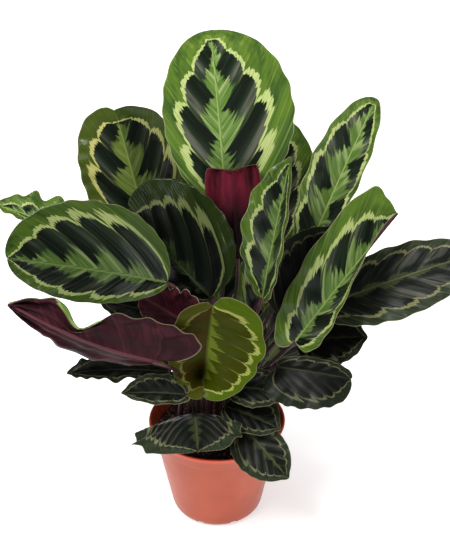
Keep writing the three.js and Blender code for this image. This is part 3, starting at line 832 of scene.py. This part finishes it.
def blade_tree():
    tree, given = new_tree("blade", Thickness="Float", Swelling="Float", Groove="Float", Rib="Float",
                           Upper_Side="Material", Under_Side="Material")
    along, across, beside, vein = (named(tree, name) for name in ("along", "across", "beside", "vein"))
    cell = vein.math("FRACT")
    pleat = (cell * math.pi).math("SINE").math("MAXIMUM", 0.0) ** 0.6
    pleat = pleat * across.step(0.03, 0.3) * (1 - across.step(0.7, 1.0) * 0.8)
    pleat = pleat * along.step(0.0, 0.12) * (1 - along.step(0.86, 1.0))
    fine = (cell * math.tau * 3).math("COSINE") * across.step(0.1, 0.4) * (1 - across.step(0.7, 1.0))
    groove = (beside * beside * -0.55).math("EXPONENT")
    lift = given["Swelling"] * (pleat + fine * 0.12) - given["Groove"] * groove
    ribbed = add_node(tree, "GeometryNodeSetPosition", Geometry=given["Geometry"],
                      Offset=along_normal(tree, lift))
    width = 2.3 - along * 1.5
    rib = ((beside / width) ** 2 * -1).math("EXPONENT") * (1 - along * 0.8)
    depth = given["Thickness"] * (1 - across * 0.45) + given["Rib"] * rib
    lowered = add_node(tree, "GeometryNodeExtrudeMesh", {"mode": "FACES"}, Mesh=ribbed,
                       Offset_Scale=depth * -1, Individual=False)
    under = add_node(tree, "GeometryNodeFlipFaces", Mesh=lowered)
    both = tree.nodes.new("GeometryNodeJoinGeometry")
    for half, label in ((under, "Under Side"), (ribbed, "Upper Side")):
        side = add_node(tree, "GeometryNodeSetMaterial", Geometry=half, Material=given[label])
        plug(tree, side, both.inputs[0])
    welded = add_node(tree, "GeometryNodeMergeByDistance", Geometry=both, Distance=0.000002)
    smooth = add_node(tree, "GeometryNodeSetShadeSmooth", Geometry=welded)
    return give_back(tree, add_node(tree, "GeometryNodeRealizeInstances", Geometry=smooth))


blade_nodes = blade_tree()
print("the blade's tree has", len(blade_nodes.nodes), "nodes")

# %% [markdown]
# ## From a tree to a plain mesh
# A modifier holds the tree's inputs under the sockets' identifiers, not their names, so the helper
# looks each one up. Then it asks for the evaluated result as a new mesh and throws the modifier away:
# what stays is an ordinary object at the origin, with its place in its mesh.

# %% Growing a piece


def grow(name, start, tree, **values):
    """Runs a tree on a mesh or curve and returns the result as a plain mesh object."""
    seed_object = bpy.data.objects.new(name + " start", start)
    scene.collection.objects.link(seed_object)
    modifier = seed_object.modifiers.new(tree.name, "NODES")
    modifier.node_group = tree
    labels = {item.name: item.identifier for item in tree.interface.items_tree
              if item.in_out == "INPUT"}
    for label, value in values.items():
        modifier[labels[label.replace("_", " ")]] = value
    seen = seed_object.evaluated_get(bpy.context.evaluated_depsgraph_get())
    mesh = bpy.data.meshes.new_from_object(seen)
    bpy.data.objects.remove(seed_object)
    mesh.name = name
    piece = bpy.data.objects.new(name, mesh)
    scene.collection.objects.link(piece)
    return piece


def place_piece(piece, slot, *nodes):
    """Hangs a finished piece under the root and hides the frame's parts that it stands for; slot is not
    used.
    """
    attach(piece, "root")
    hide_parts(*nodes)


print("trees that can be grown so far:", ", ".join(tree.name for tree in bpy.data.node_groups))

# %% [markdown]
# ## Making the blades
# One loop makes all of them. The thickness, the groove and the rib are the same for every blade; how
# far it swells between its veins is its own number. Its upper side is the one for its age: the young
# leaf's, a grown leaf's or an old leaf's.

# %% Blades
LEAF_SLOTS = {-1: "young_leaf", 0: "leaf", 1: "old_leaf"}
for name, leaf in LEAVES.items():
    stage_of_life = math.floor(leaf["age"] + 0.5)
    blade = grow(
        "blade_" + name, sheet_of(name, leaf), blade_nodes,
        Thickness=0.75 * MM, Swelling=leaf["pleat"] * MM, Groove=0.5 * MM, Rib=1.7 * MM,
        Upper_Side=UPPER_SIDES[stage_of_life], Under_Side=under_side,
    )
    place_piece(blade, LEAF_SLOTS[stage_of_life], "leaf_" + name)
    leaf["faces"] = len(blade.data.polygons)
print("blade faces:", sum(leaf["faces"] for leaf in LEAVES.values()))

# %% [markdown]
# ## Stalks
# A stalk rises out of the soil, leans outwards and runs into the midrib. It is a curve with a round
# section swept along it, which is what Curve to Mesh does. The tree also sets the radius: wide at the
# foot where the stalk wraps the next one, slender above, and swollen just under the blade, where a
# calathea has the joint that folds its leaves at night.

# %% Material: stalk


def stalk_skin():
    material, tree, shader = new_material("stalk skin", rgb(78, 34, 44))
    rise, seed = read(tree, "rise", "seed")
    place = object_place(tree)
    stretched = field_of(tree, "ShaderNodeMapping", Vector=place, Scale=(900, 900, 60))
    fibres = grain(tree, stretched, 1.0, 3.0)
    blotches = grain(tree, place, 70.0, 3.0)
    color = tint(
        tree, rgb(52, 20, 28),
        rgb(28, 11, 16), fibres.step(0.35, 0.65),
        rgb(78, 78, 42), blotches.step(0.5, 0.68) * 0.35 * (seed * 0.011),
        rgb(92, 62, 58), rise.step(0.86, 0.97) * 0.5,
        rgb(46, 28, 24), (1 - rise.step(0.1, 0.3)) * 0.7,
    )
    fill(
        tree, shader, Base_Color=color, Roughness=0.45 + (blotches - 0.5) * 0.3,
        Specular_IOR_Level=0.25, Normal=bump(tree, fibres, 0.0003, 0.6),
    )
    return material


stalk_material = stalk_skin()
print("stalk skin has", len(stalk_material.node_tree.nodes), "nodes")

# %% [markdown]
# ## A stalk grown along a curve
# The tree spaces the curve's points evenly, stores how far up each one is, and sweeps a circle along
# it. The radius is a sum: a slender stem, a foot that dies away quickly, and the joint near the top.

# %% Tree: stalk


def stalk_tree():
    tree, given = new_tree("stalk", Radius="Float", Foot_Swelling="Float", Joint_Swelling="Float",
                           Steps="Int", Sides="Int", Material="Material")
    even = add_node(tree, "GeometryNodeResampleCurve", Curve=given["Geometry"], Count=given["Steps"])
    rise = field_of(tree, "GeometryNodeSplineParameter")
    kept = add_node(tree, "GeometryNodeStoreNamedAttribute", {"data_type": "FLOAT", "domain": "POINT"},
                    Geometry=even, Name="rise", Value=rise)
    foot = (rise * -9).math("EXPONENT") * given["Foot Swelling"]
    joint = rise.step(0.86, 0.92) * given["Joint Swelling"]
    radius = given["Radius"] * (1.12 - rise * 0.2) + foot + joint
    ring = add_node(tree, "GeometryNodeCurvePrimitiveCircle", Resolution=given["Sides"], Radius=1.0)
    tube = add_node(tree, "GeometryNodeCurveToMesh", Curve=kept, Profile_Curve=ring, Scale=radius,
                    Fill_Caps=True)
    smooth = add_node(tree, "GeometryNodeSetShadeSmooth", Geometry=tube)
    whole = add_node(tree, "GeometryNodeRealizeInstances", Geometry=smooth)
    return give_back(tree, add_node(tree, "GeometryNodeSetMaterial", Geometry=whole,
                                    Material=given["Material"]))


stalk_nodes = stalk_tree()
print("the stalk's tree has", len(stalk_nodes.nodes), "nodes")

# %% [markdown]
# ## Where the stalks run
# A stalk starts straight up out of the soil, bends, and arrives along its own midrib, just under the
# blade. That is a cubic curve with four points: foot, rise, arrive and end. The part in the soil is
# one more point below. The numbers are the frame's, so every stalk stays within its solid's path.

# %% Stalk paths and stalks
POT_HEIGHT = 130
SOIL_TOP = POT_HEIGHT - 11
STALK_RADIUS = 2.2
STALK_DEPTH = 26
STALK_OVERLAP = 6
STALK_ROOM = 1.07
DROOP_ROOM = 0.9
FRAME_BLADE = 0.8
FRAME_GAP = 0.3


def stalk_path(leaf):
    """Points in millimetres from the stalk's end in the soil to its end under the blade."""
    point, tangent, normal, _ = midrib(leaf, 0.0)
    droop = math.sin(max(0, -min(leaf["fold"]))) * DROOP_ROOM
    below = FRAME_BLADE + FRAME_GAP + STALK_RADIUS * (STALK_ROOM + droop)
    end = point + tangent * STALK_OVERLAP - normal * below
    foot = np.array([*leaf["foot"], SOIL_TOP], float)
    reach = np.linalg.norm(end - foot)
    rise = foot + np.array([0, 0, reach * leaf["lean"]])
    arrive = end - tangent * reach * leaf["arrive"]
    t = np.linspace(0, 1, 40)[:, None]
    bend = foot * (1 - t) ** 3 + 3 * rise * t * (1 - t) ** 2
    bend += 3 * arrive * t ** 2 * (1 - t) + end * t ** 3
    root = foot - np.array([0, 0, STALK_DEPTH])
    return np.vstack([root, bend])


def poly_curve(name, points):
    """A curve through points given in millimetres."""
    curve = bpy.data.curves.new(name, "CURVE")
    curve.dimensions = "3D"
    spline = curve.splines.new("POLY")
    spline.points.add(len(points) - 1)
    spline.points.foreach_set("co", np.c_[points * MM, np.ones(len(points))].ravel())
    return curve


for name, leaf in LEAVES.items():
    stalk = grow(
        "stalk_of_" + name, poly_curve(name, stalk_path(leaf)), stalk_nodes,
        Radius=STALK_RADIUS * MM, Foot_Swelling=1.3 * MM, Joint_Swelling=0.35 * MM,
        Steps=46, Sides=14, Material=stalk_material,
    )
    give(stalk.data, "seed", np.full(len(stalk.data.vertices), seed_of(name)))
    place_piece(stalk, "stalk", "stalk_" + name)
print("stalks:", len(LEAVES))

# %% [markdown]
# ## The pot
# A nursery pot is blown or moulded from thin coloured plastic: a straight tapering wall, a collar
# below a rounded lip, a rounded foot with notches that let water out, and a flat underside. All of
# it but the notches is round, so its section is turned about the axis. The notches are eight blocks
# set in a ring by Geometry Nodes and cut out of the foot.

# %% Material: pot plastic


def pot_plastic():
    material, tree, shader = new_material("pot plastic", rgb(204, 98, 70))
    place = object_place(tree)
    height = axes(tree, place)[2]
    cloud = grain(tree, place, 14.0, 4.0)
    speck = grain(tree, place, 900.0)
    layers = grain(tree, vector(tree, 0, 0, height), 420.0)
    dust = grain(tree, place, 45.0, 5.0, 0.7)
    color = tint(
        tree, rgb(181, 77, 41),
        rgb(167, 65, 34), cloud.step(0.35, 0.7),
        rgb(206, 108, 76), layers.step(0.55, 0.8) * 0.25,
        # painted highlight: the band around the lip is painted a brighter orange-red, where its rounding
        # catches the light
        rgb(228, 86, 54), height.step(0.121, 0.1285) * 0.85,
        rgb(150, 96, 74), dust.step(0.6, 0.75) * 0.3,
        rgb(120, 66, 50), (1 - height.step(0.0, 0.012)) * 0.5,
    )
    fill(
        tree, shader, Base_Color=color, Roughness=0.36 + (dust - 0.5) * 0.3,
        Specular_IOR_Level=0.45, Normal=bump(tree, layers * 0.6 + speck * 0.4, 0.0002, 0.5),
    )
    return material


pot_material = pot_plastic()
print("pot plastic has", len(pot_material.node_tree.nodes), "nodes")

# %% [markdown]
# ## The pot's section
# The section runs from the flat underside up the outside, over the lip, and down the inside to the
# floor. Each corner is a short curve, because moulded plastic has no sharp corner and the small
# rounding is what catches the light. One function turns such a section about the upright axis.

# %% The pot's section
POT_TOP_RADIUS = 85
POT_FOOT_RADIUS = 56
FOOT_ROUNDING = 12
FOOT_FLAT_RADIUS = 46
FLOOR_RADIUS = 44
COLLAR_HEIGHT = 20
COLLAR_TAPER = 6
COLLAR_STEP = 2
LIP_ROUNDING = 1.4
WALL = 1.8
FLOOR = 2.5
COLLAR_FOOT = POT_HEIGHT - COLLAR_HEIGHT


def wall_radius(height):
    """The outside radius of the wall under the collar."""
    top = POT_TOP_RADIUS - COLLAR_TAPER - COLLAR_STEP
    return POT_FOOT_RADIUS + (top - POT_FOOT_RADIUS) * height / COLLAR_FOOT


def bent(start, corner, end, steps=8):
    """Points of a curve from start to end that bends towards corner."""
    t = np.linspace(0, 1, steps + 1)[:, None]
    start, corner, end = (np.array(p, float) for p in (start, corner, end))
    return (start * (1 - t) ** 2 + 2 * corner * t * (1 - t) + end * t ** 2).tolist()


def straight(start, end, steps):
    """Points of a straight line, without its last one."""
    t = np.linspace(0, 1, steps + 1)[:-1, None]
    return (np.array(start, float) * (1 - t) + np.array(end, float) * t).tolist()


def pot_section():
    wall_foot = (wall_radius(FOOT_ROUNDING), FOOT_ROUNDING)
    wall_top = (wall_radius(COLLAR_FOOT), COLLAR_FOOT)
    ledge = (POT_TOP_RADIUS - COLLAR_TAPER, COLLAR_FOOT + 0.4)
    outside = bent((FOOT_FLAT_RADIUS, 0), (POT_FOOT_RADIUS, 0), wall_foot)
    outside += straight(wall_foot, wall_top, 24)[1:]
    outside += bent(wall_top, (ledge[0] - 1, COLLAR_FOOT + 0.1), ledge, 3)
    outside += bent(ledge, (ledge[0] + 0.8, ledge[1] + 0.4), (ledge[0] + 1, ledge[1] + 2), 3)[1:]
    outside += straight((ledge[0] + 1, ledge[1] + 2), (POT_TOP_RADIUS - 1.2, POT_HEIGHT - 4), 6)[1:]
    lip = (POT_TOP_RADIUS - LIP_ROUNDING, POT_HEIGHT - LIP_ROUNDING)
    outside += [
        (lip[0] + LIP_ROUNDING * math.cos(a), lip[1] + LIP_ROUNDING * math.sin(a))
        for a in np.linspace(0, math.pi, 9)
    ]
    inner_top = (wall_top[0] - WALL, COLLAR_FOOT)
    inner_foot = (wall_foot[0] - WALL, FOOT_ROUNDING)
    inside = straight((lip[0] - LIP_ROUNDING, POT_HEIGHT - 2), inner_top, 6)
    inside += straight(inner_top, inner_foot, 10)
    inside += bent(inner_foot, (POT_FOOT_RADIUS - WALL, FLOOR), (FLOOR_RADIUS, FLOOR))
    return outside + inside


def turn(name, section, segments):
    """Turns a section of (radius, height) points in millimetres about Z and closes both ends."""
    angles = np.linspace(0, math.tau, segments, endpoint=False)
    radius, height = np.array(section, float).T
    ring = np.stack([np.cos(angles), np.sin(angles)], axis=1)
    points = np.zeros((len(section), segments, 3))
    points[..., :2] = radius[:, None, None] * ring
    points[..., 2] = height[:, None]
    verts = (points.reshape(-1, 3) * MM).tolist()
    faces = []
    for row in range(len(section) - 1):
        for column in range(segments):
            after = (column + 1) % segments
            a, b = row * segments + column, row * segments + after
            faces.append((a, b, b + segments, a + segments))
    for row, flip in ((0, True), (len(section) - 1, False)):
        pole = len(verts)
        verts.append((0, 0, section[row][1] * MM))
        for column in range(segments):
            edge = (row * segments + column, row * segments + (column + 1) % segments)
            faces.append((*(reversed(edge) if flip else edge), pole))
    mesh = bpy.data.meshes.new(name)
    mesh.from_pydata(verts, [], faces)
    mesh.validate()
    return mesh


print("the pot's section has", len(pot_section()), "points")

# %% [markdown]
# ## Notches that let water out
# Eight blocks stand in a ring at the foot, each turned to face outwards, and a boolean cuts them out
# of the turned pot. The blocks are wider than the foot is rounded, so that they open the underside's
# edge the way the mould does.

# %% Tree: pot with drain notches


def pot_tree():
    tree, given = new_tree("drained pot", Notches="Int", Notch_Radius="Float", Notch_Size="Vector",
                           Material="Material")
    ring = add_node(tree, "GeometryNodeMeshCircle", Vertices=given["Notches"],
                    Radius=given["Notch Radius"])
    block = add_node(tree, "GeometryNodeMeshCube", Size=given["Notch Size"])
    aim = add_node(tree, "FunctionNodeAlignRotationToVector", {"axis": "X"},
                   Vector=field_of(tree, "GeometryNodeInputPosition"))
    blocks = add_node(tree, "GeometryNodeInstanceOnPoints", Points=ring, Instance=block, Rotation=aim)
    turned = add_node(tree, "GeometryNodeTransform", Geometry=blocks, Rotation=(0, 0, math.pi / 8))
    cutters = add_node(tree, "GeometryNodeRealizeInstances", Geometry=turned)
    cut = add_node(tree, "GeometryNodeMeshBoolean", {"operation": "DIFFERENCE"},
                   Mesh_1=given["Geometry"], Mesh_2=cutters)
    return give_back(tree, add_node(tree, "GeometryNodeSetMaterial", Geometry=cut,
                                    Material=given["Material"]))


DRAIN_COUNT = 8
DRAIN_WIDTH = 9
DRAIN_HEIGHT = 7
pot = grow(
    "nursery_pot", turn("pot", pot_section(), 160), pot_tree(),
    Notches=DRAIN_COUNT, Notch_Radius=POT_FOOT_RADIUS * MM,
    Notch_Size=(2 * FOOT_ROUNDING * MM, DRAIN_WIDTH * MM, 2 * DRAIN_HEIGHT * MM),
    Material=pot_material,
)
pot.data.shade_smooth()
pot.data.set_sharp_from_angle(angle=math.radians(40))
place_piece(pot, "pot", "pot")
print("pot faces:", len(pot.data.polygons))

# %% [markdown]
# ## Soil
# The mix is dark peat with chips of bark, a few pale grains and crumbs. The ground under them is a
# turned block whose top is roughened by noise. Geometry Nodes scatter the loose bits: points spread
# over the top faces, and on each a small lump at a random turn and size.

# %% Materials: potting mix, bark and pale grains


def crumb_material(name, dark, light, pale, roughness):
    """A dull earthy finish whose colour changes from lump to lump."""
    material, tree, shader = new_material(name, dark)
    (shade,) = read(tree, "shade")
    fine = grain(tree, object_place(tree), 650.0, 4.0, 0.7)
    color = tint(tree, dark, light, shade.step(0.15, 0.85), pale, fine.step(0.55, 0.75) * 0.35)
    fill(tree, shader, Base_Color=color, Roughness=roughness, Normal=bump(tree, fine, 0.0006, 1.0))
    return material


potting_mix = crumb_material("potting mix", rgb(40, 27, 20), rgb(62, 42, 30), rgb(78, 54, 40), 0.95)
bark = crumb_material("bark", rgb(70, 42, 30), rgb(140, 92, 74), rgb(168, 122, 98), 0.85)
pale_grain = crumb_material("pale grain", rgb(178, 164, 142), rgb(222, 214, 200), rgb(236, 230, 220), 0.9)
print("the soil has", len((potting_mix, bark, pale_grain)), "materials")

# %% [markdown]
# ## The ground
# The block fills the pot with a hair's gap and is crowned a little in the middle, where the plant
# stands. Only its top, above the collar's foot, is roughened, so that the sides stay clear of the wall.

# %% The ground under the loose bits
SOIL_CROWN = 1.2
SOIL_CROWN_RADIUS = 40
SOIL_GAP = 0.4
ROUGH_HEIGHT = 1.8
ROUGH_COUNT = 130  # hills to a metre


def soil_block():
    inset = WALL + SOIL_GAP
    side = wall_radius(COLLAR_FOOT) - inset
    foot = (wall_radius(FOOT_ROUNDING) - inset, FOOT_ROUNDING + 0.3)
    section = bent((FLOOR_RADIUS - 1, FLOOR + 0.3), (POT_FOOT_RADIUS - inset - 0.6, FLOOR + 0.3), foot)
    section += straight(foot, (side, COLLAR_FOOT), 8)[1:]
    section += straight((side, COLLAR_FOOT), (side, SOIL_TOP - 5), 2)
    section += straight((side, SOIL_TOP - 5), (side - 12, SOIL_TOP - 2), 6)
    section += straight((side - 12, SOIL_TOP - 2), (SOIL_CROWN_RADIUS, SOIL_TOP + SOIL_CROWN), 12)
    section += straight((SOIL_CROWN_RADIUS, SOIL_TOP + SOIL_CROWN), (1, SOIL_TOP + SOIL_CROWN), 22)
    mesh = turn("soil", section, 128)
    for vertex in mesh.vertices:
        inner = math.hypot(vertex.co.x, vertex.co.y) < (side - 2) * MM
        if vertex.co.z > (COLLAR_FOOT + 1) * MM and inner:
            rough = noise.fractal(vertex.co * ROUGH_COUNT, 1.0, 2.0, 4) * ROUGH_HEIGHT
            vertex.co.z += rough * MM
    mesh.materials.append(potting_mix)
    mesh.shade_smooth()
    return mesh


soil_ground = soil_block()
print("ground faces:", len(soil_ground.polygons))

# %% [markdown]
# ## Loose bits
# Three kinds of lump lie on top: crumbs of the mix, flat chips of bark and a few pale grains. Each
# kind is one small jagged ball, set on scattered points at its own size and turn. A number stored on
# every lump gives it its own shade.

# %% Tree: loose bits on the soil


def scatter(tree, ground, material, density, size, flatness, seed, lowest):
    """Lumps of one kind, spread over the faces that look up and lie above the lowest height."""
    place = field_of(tree, "GeometryNodeInputPosition")
    upward = axes(tree, field_of(tree, "GeometryNodeInputNormal"))[2]
    chosen = upward.step(0.3, 0.5) * axes(tree, place)[2].step(lowest, lowest + MM)
    points = add_node(tree, "GeometryNodeDistributePointsOnFaces", Mesh=ground, Selection=chosen,
                      Density=density, Seed=seed)
    ball = add_node(tree, "GeometryNodeMeshIcoSphere", Radius=1.0, Subdivisions=2)
    jag = grain(tree, place, 1.1) - 0.5
    lump = add_node(tree, "GeometryNodeSetPosition", Geometry=ball, Offset=along_normal(tree, jag * 1.1))
    turn_by = field_of(tree, "FunctionNodeRandomValue", {"data_type": "FLOAT_VECTOR"}, Seed=seed + 1,
                       Max=(0.7, 0.7, math.tau))
    size_by = field_of(tree, "FunctionNodeRandomValue", {"data_type": "FLOAT_VECTOR"}, Seed=seed + 2,
                       Min=(size * 0.4, size * 0.3, size * 0.3 * flatness),
                       Max=(size * 1.3, size, size * flatness))
    bits = add_node(tree, "GeometryNodeInstanceOnPoints", Points=points, Instance=lump,
                    Rotation=turn_by, Scale=size_by)
    shade = add_node(tree, "FunctionNodeRandomValue", {"data_type": "FLOAT"}, Seed=seed + 3)
    shaded = add_node(tree, "GeometryNodeStoreNamedAttribute",
                      {"data_type": "FLOAT", "domain": "INSTANCE"}, Geometry=bits, Name="shade",
                      Value=Field(tree, shade.outputs[1]))
    real = add_node(tree, "GeometryNodeRealizeInstances", Geometry=shaded)
    return add_node(tree, "GeometryNodeSetMaterial", Geometry=real, Material=material)


def soil_tree():
    tree, given = new_tree("potting mix", Mix="Material", Bark="Material", Pale="Material",
                           Lowest="Float")
    join = tree.nodes.new("GeometryNodeJoinGeometry")
    plug(tree, given["Geometry"], join.inputs[0])
    for label, density, size, flatness, seed in (
        ("Mix", 90000, 1.6, 0.8, 11), ("Bark", 26000, 2.6, 0.5, 23), ("Pale", 7000, 1.2, 0.9, 37),
    ):
        bits = scatter(tree, given["Geometry"], given[label], density, size * MM, flatness, seed,
                       given["Lowest"])
        plug(tree, bits, join.inputs[0])
    return give_back(tree, add_node(tree, "GeometryNodeRealizeInstances", Geometry=join))


soil = grow(
    "soil_with_bark", soil_ground, soil_tree(),
    Mix=potting_mix, Bark=bark, Pale=pale_grain, Lowest=COLLAR_FOOT * MM,
)
place_piece(soil, "soil", "soil")
print("soil faces:", len(soil.data.polygons))

# %% [markdown]
# ## Floor
# A wide plain sheet, so pale that only the plant's soft shadow shows on it. Like a light table it
# glows a little, most in its far parts, which keeps it even where the lamps no longer reach. It isn't
# part of the plant.

# %% Floor
SIDE = 60.0
floor_material, tree, shader = new_material("pale floor", rgb(250, 250, 250))
x, y, _ = axes(tree, object_place(tree))
away = (x * x + y * y).math("SQRT")
glow = away.step(-0.2, 0.6) * 0.55 + away.step(0.6, 2.5) * 0.2 + 0.44
fill(
    tree, shader, Emission_Strength=glow, Emission_Color=(1, 1, 1, 1), Base_Color=rgb(226, 226, 226),
    Roughness=0.9,
)
floor_mesh = bpy.data.meshes.new("floor")
corners = [(-SIDE, -SIDE, 0), (SIDE, -SIDE, 0), (SIDE, SIDE, 0), (-SIDE, SIDE, 0)]
floor_mesh.from_pydata(corners, [], [(0, 1, 2, 3)])
floor_mesh.materials.append(floor_material)
floor = bpy.data.objects.new("floor", floor_mesh)
scene.collection.objects.link(floor)
print("the floor is", round(2 * SIDE), "metres wide")
